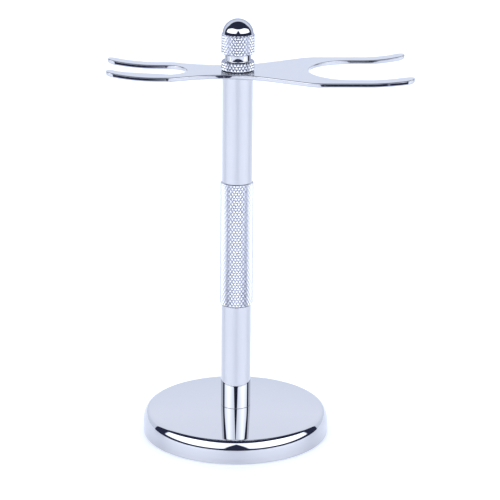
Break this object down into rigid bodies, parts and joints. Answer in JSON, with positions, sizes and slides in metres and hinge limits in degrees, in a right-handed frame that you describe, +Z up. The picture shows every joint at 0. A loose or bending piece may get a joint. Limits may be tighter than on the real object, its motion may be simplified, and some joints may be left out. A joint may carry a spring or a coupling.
{
  "type": "razor and brush stand",
  "caption": "Free-standing shaving stand: weighted round base, slim pole with a knurled grip, and a swivelling double fork plate clamped by a domed screw knob.",
  "frame": {"origin": "on the pole's axis, at the underside of the foot pad, where the stand meets the table", "axes": "+Z up along the pole, -X towards the razor fork, +X towards the brush fork, Y across the plate"},
  "size_m": [0.1098, 0.07, 0.1588],
  "materials": {
    "polished_chrome": "mirror-polished chrome plate",
    "knurled_chrome": "chrome plate over a diamond knurl",
    "cast_weight": "rough casting",
    "adhesive_film": "double-sided film",
    "pad_rubber": "matt foam rubber",
    "zinc_steel": "bright zinc plate",
    "turned_brass": "turned",
    "washer_nylon": "natural nylon"
  },
  "bodies": {
    "stand": {"base_cover": "polished_chrome", "base_weight": "cast_weight", "pad_film": "adhesive_film", "foot_pad": "pad_rubber", "base_bolt": "zinc_steel", "lock_washer": "zinc_steel", "flat_washer": "zinc_steel", "lower_insert": "turned_brass", "lower_tube": "polished_chrome", "knurled_grip": "knurled_chrome", "upper_tube": "polished_chrome", "upper_insert": "turned_brass", "top_stud": "zinc_steel"},
    "holder": {"fork_plate": "polished_chrome"},
    "washer": {"friction_washer": "washer_nylon"},
    "knob": {"clamp_knob": "knurled_chrome"}
  },
  "joints": [
    {"name": "holder_swivel", "type": "hinge", "parent": "stand", "child": "holder", "pos_m": [0, 0, 0.1392], "axis": [0, 0, 1], "continuous": true},
    {"name": "knob_rise", "type": "slide", "parent": "stand", "child": "washer", "axis": [0, 0, 1], "range_m": [0, 0.0088]},
    {"name": "knob_turn", "type": "hinge", "parent": "washer", "child": "knob", "pos_m": [0, 0, 0.15], "axis": [0, 0, 1], "range_deg": [0, 3960]}
  ],
  "couplings": [
    {"joint": "knob_rise", "follows": "knob_turn", "m_per_rad": 0.00012732}
  ]
}
